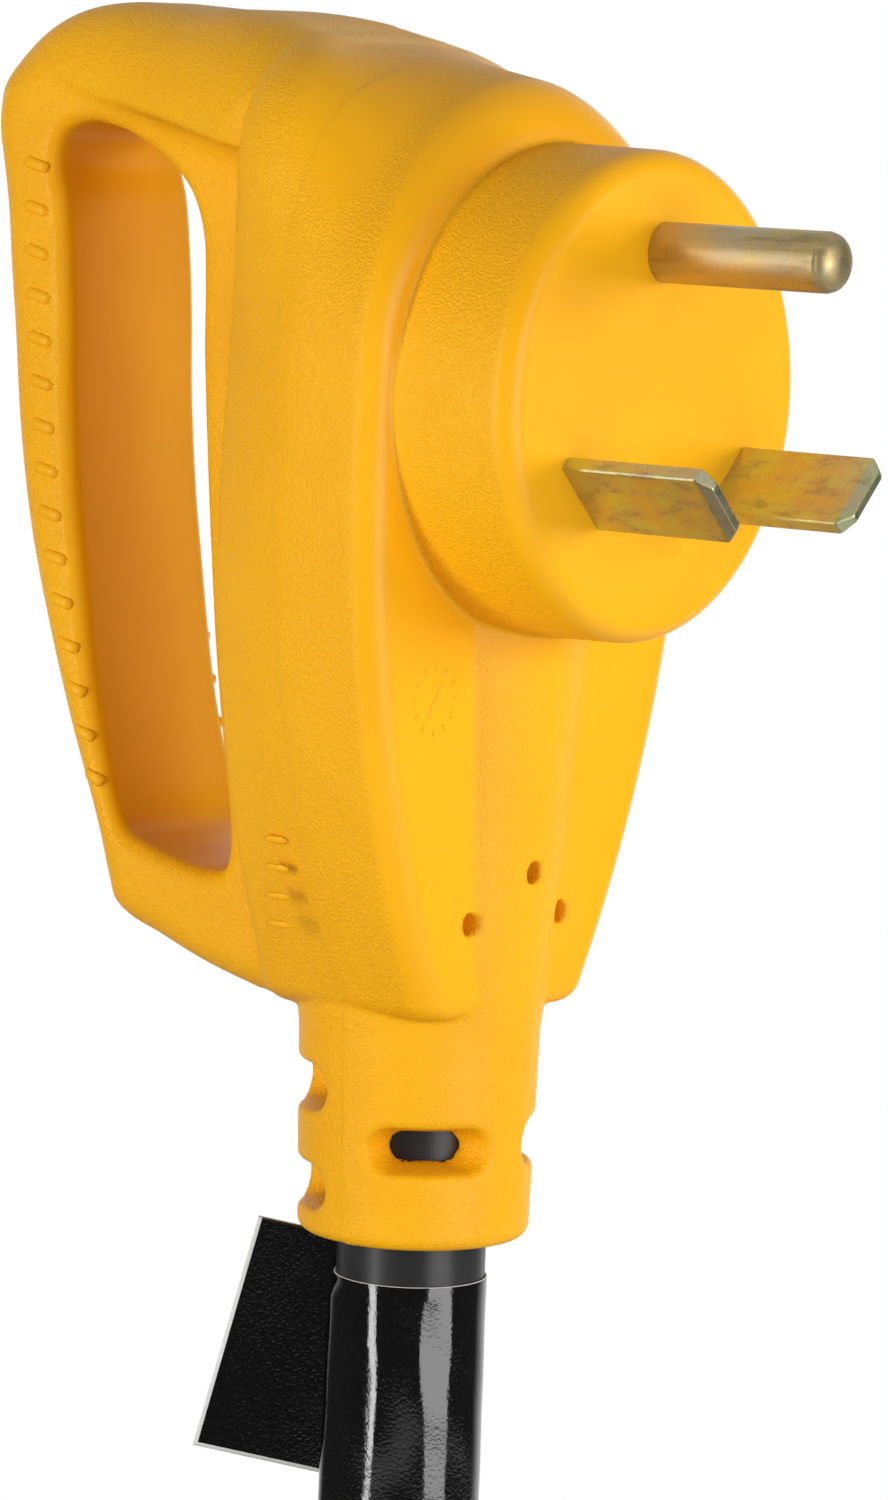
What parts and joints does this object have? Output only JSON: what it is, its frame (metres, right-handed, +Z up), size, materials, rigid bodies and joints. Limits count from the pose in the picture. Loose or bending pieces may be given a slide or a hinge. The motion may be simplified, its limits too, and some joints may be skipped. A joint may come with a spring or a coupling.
{
  "type": "shore power cord",
  "caption": "Right-angle RV shore power plug with a D-handle, heavy black cord lying coiled below it, and a locking connector with a screw ring on the far end",
  "frame": {"origin": "centre of the plug's round face, in the plane of the face", "axes": "-Y points out of the face along the blades, +Y toward the D-handle, +Z up away from the cord, +X completes the set; the plug is a mirror image about x = 0"},
  "size_m": [0.3026, 0.2856, 0.3297],
  "materials": {
    "grip_yellow": "satin moulded vinyl, fine pebble grain on the flanks",
    "ring_yellow": "satin moulded nylon",
    "core_black": "moulded polypropylene",
    "bridge_nylon": "natural glass-filled nylon",
    "carrier_black": "satin moulded nylon",
    "pin_brass": "drawn brass, fine lengthwise streaks",
    "blade_zinc": "stamped brass with a faint iridescent passivation",
    "copper": "bare stranded copper",
    "jacket_black": "satin black cord jacket",
    "seal_rubber": "matt black sealing rubber",
    "wire_green": "green conductor insulation",
    "wire_black": "black conductor insulation",
    "wire_white": "white conductor insulation",
    "label_vinyl": "glossy black label vinyl with plain pale rules"
  },
  "bodies": {
    "cord_set": {"blade_bridge": "bridge_nylon", "connector_body": "grip_yellow", "connector_core": "core_black", "connector_ground_strands": "copper", "connector_ground_wire": "wire_green", "connector_jacket_end": "jacket_black", "connector_line_strands": "copper", "connector_line_wire": "wire_black", "connector_neutral_strands": "copper", "connector_neutral_wire": "wire_white", "contact_carrier": "carrier_black", "cord_coil": "jacket_black", "cord_lead": "jacket_black", "cord_tail": "jacket_black", "grip_body": "grip_yellow", "ground_contact": "pin_brass", "ground_crimp": "pin_brass", "ground_pin": "pin_brass", "ground_strands": "copper", "ground_wire": "wire_green", "jacket_end": "jacket_black", "label_flag": "label_vinyl", "label_wrap": "label_vinyl", "line_blade": "blade_zinc", "line_contact": "pin_brass", "line_crimp": "pin_brass", "line_strands": "copper", "line_wire": "wire_black", "moulded_core": "core_black", "mouth_gasket": "seal_rubber", "neutral_blade": "blade_zinc", "neutral_contact": "pin_brass", "neutral_crimp": "pin_brass", "neutral_strands": "copper", "neutral_wire": "wire_white"},
    "screw_ring": {"locking_ring": "ring_yellow"}
  },
  "joints": [
    {"name": "ring_turn", "type": "hinge", "parent": "cord_set", "child": "screw_ring", "pos_m": [0.00986, 0.00206, -0.25975], "axis": [0, -1, 0], "continuous": true}
  ]
}
